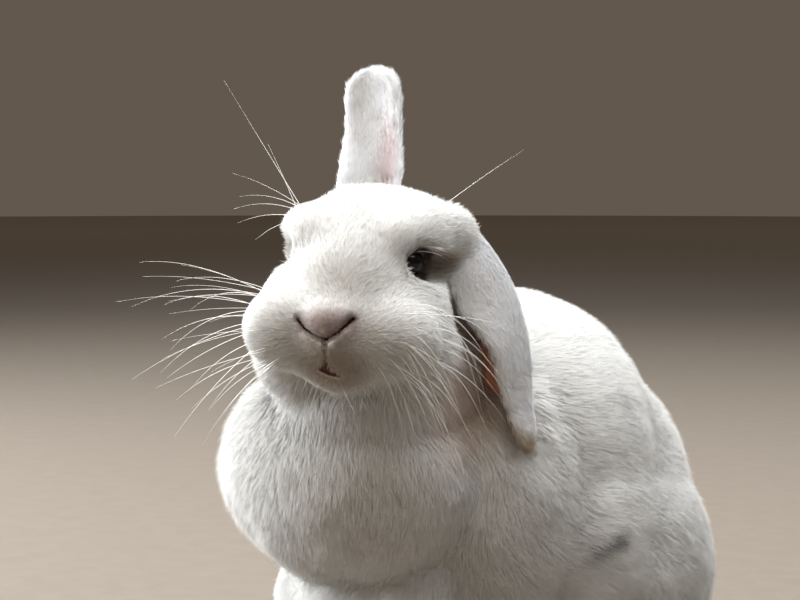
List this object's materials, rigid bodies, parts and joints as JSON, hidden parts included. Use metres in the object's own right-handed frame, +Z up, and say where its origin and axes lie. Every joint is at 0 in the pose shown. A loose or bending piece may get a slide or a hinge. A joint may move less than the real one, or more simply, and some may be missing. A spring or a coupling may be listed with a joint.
{
  "type": "lop rabbit",
  "caption": "Still life-size model of a white lop rabbit sitting alert, one ear up and one hanging, with a full dewlap.",
  "frame": {"origin": "on the floor, under the centre of the rabbit's bounding box", "axes": "+Z up from the floor, -Y the way the rabbit's body faces, +X the rabbit's left"},
  "size_m": [0.1712, 0.2778, 0.2854],
  "materials": {
    "claw_forepaw_left_1": "pale horn",
    "claw_forepaw_left_2": "pale horn",
    "claw_forepaw_left_3": "pale horn",
    "claw_forepaw_left_4": "pale horn",
    "claw_forepaw_right_1": "pale horn",
    "claw_forepaw_right_2": "pale horn",
    "claw_forepaw_right_3": "pale horn",
    "claw_forepaw_right_4": "pale horn",
    "claw_hind_foot_left_1": "pale horn",
    "claw_hind_foot_left_2": "pale horn",
    "claw_hind_foot_left_3": "pale horn",
    "claw_hind_foot_left_4": "pale horn",
    "claw_hind_foot_right_1": "pale horn",
    "claw_hind_foot_right_2": "pale horn",
    "claw_hind_foot_right_3": "pale horn",
    "claw_hind_foot_right_4": "pale horn",
    "dewlap": "dense soft white fur",
    "ear_left": "short white fur outside, thin pink skin showing inside",
    "ear_right": "short white fur outside, thin pink skin showing inside",
    "eye_left": "wet dark brown eye, near black",
    "eye_right": "wet dark brown eye, near black",
    "foreleg_left": "dense soft white fur",
    "foreleg_right": "dense soft white fur",
    "forepaw_left": "dense soft white fur",
    "forepaw_right": "dense soft white fur",
    "head": "dense soft white fur",
    "hind_foot_left": "dense soft white fur",
    "hind_foot_right": "dense soft white fur",
    "neck": "dense soft white fur",
    "nose": "short fine hair over pinkish skin",
    "tail": "dense soft white fur",
    "thigh_left": "dense soft white fur",
    "thigh_right": "dense soft white fur",
    "trunk": "dense soft white fur"
  },
  "bodies": {
    "root": {"claw_forepaw_left_1": "claw_forepaw_left_1", "claw_forepaw_left_2": "claw_forepaw_left_2", "claw_forepaw_left_3": "claw_forepaw_left_3", "claw_forepaw_left_4": "claw_forepaw_left_4", "claw_forepaw_right_1": "claw_forepaw_right_1", "claw_forepaw_right_2": "claw_forepaw_right_2", "claw_forepaw_right_3": "claw_forepaw_right_3", "claw_forepaw_right_4": "claw_forepaw_right_4", "claw_hind_foot_left_1": "claw_hind_foot_left_1", "claw_hind_foot_left_2": "claw_hind_foot_left_2", "claw_hind_foot_left_3": "claw_hind_foot_left_3", "claw_hind_foot_left_4": "claw_hind_foot_left_4", "claw_hind_foot_right_1": "claw_hind_foot_right_1", "claw_hind_foot_right_2": "claw_hind_foot_right_2", "claw_hind_foot_right_3": "claw_hind_foot_right_3", "claw_hind_foot_right_4": "claw_hind_foot_right_4", "dewlap": "dewlap", "ear_left": "ear_left", "ear_right": "ear_right", "eye_left": "eye_left", "eye_right": "eye_right", "foreleg_left": "foreleg_left", "foreleg_right": "foreleg_right", "forepaw_left": "forepaw_left", "forepaw_right": "forepaw_right", "head": "head", "hind_foot_left": "hind_foot_left", "hind_foot_right": "hind_foot_right", "neck": "neck", "nose": "nose", "tail": "tail", "thigh_left": "thigh_left", "thigh_right": "thigh_right", "trunk": "trunk"}
  },
  "joints": []
}
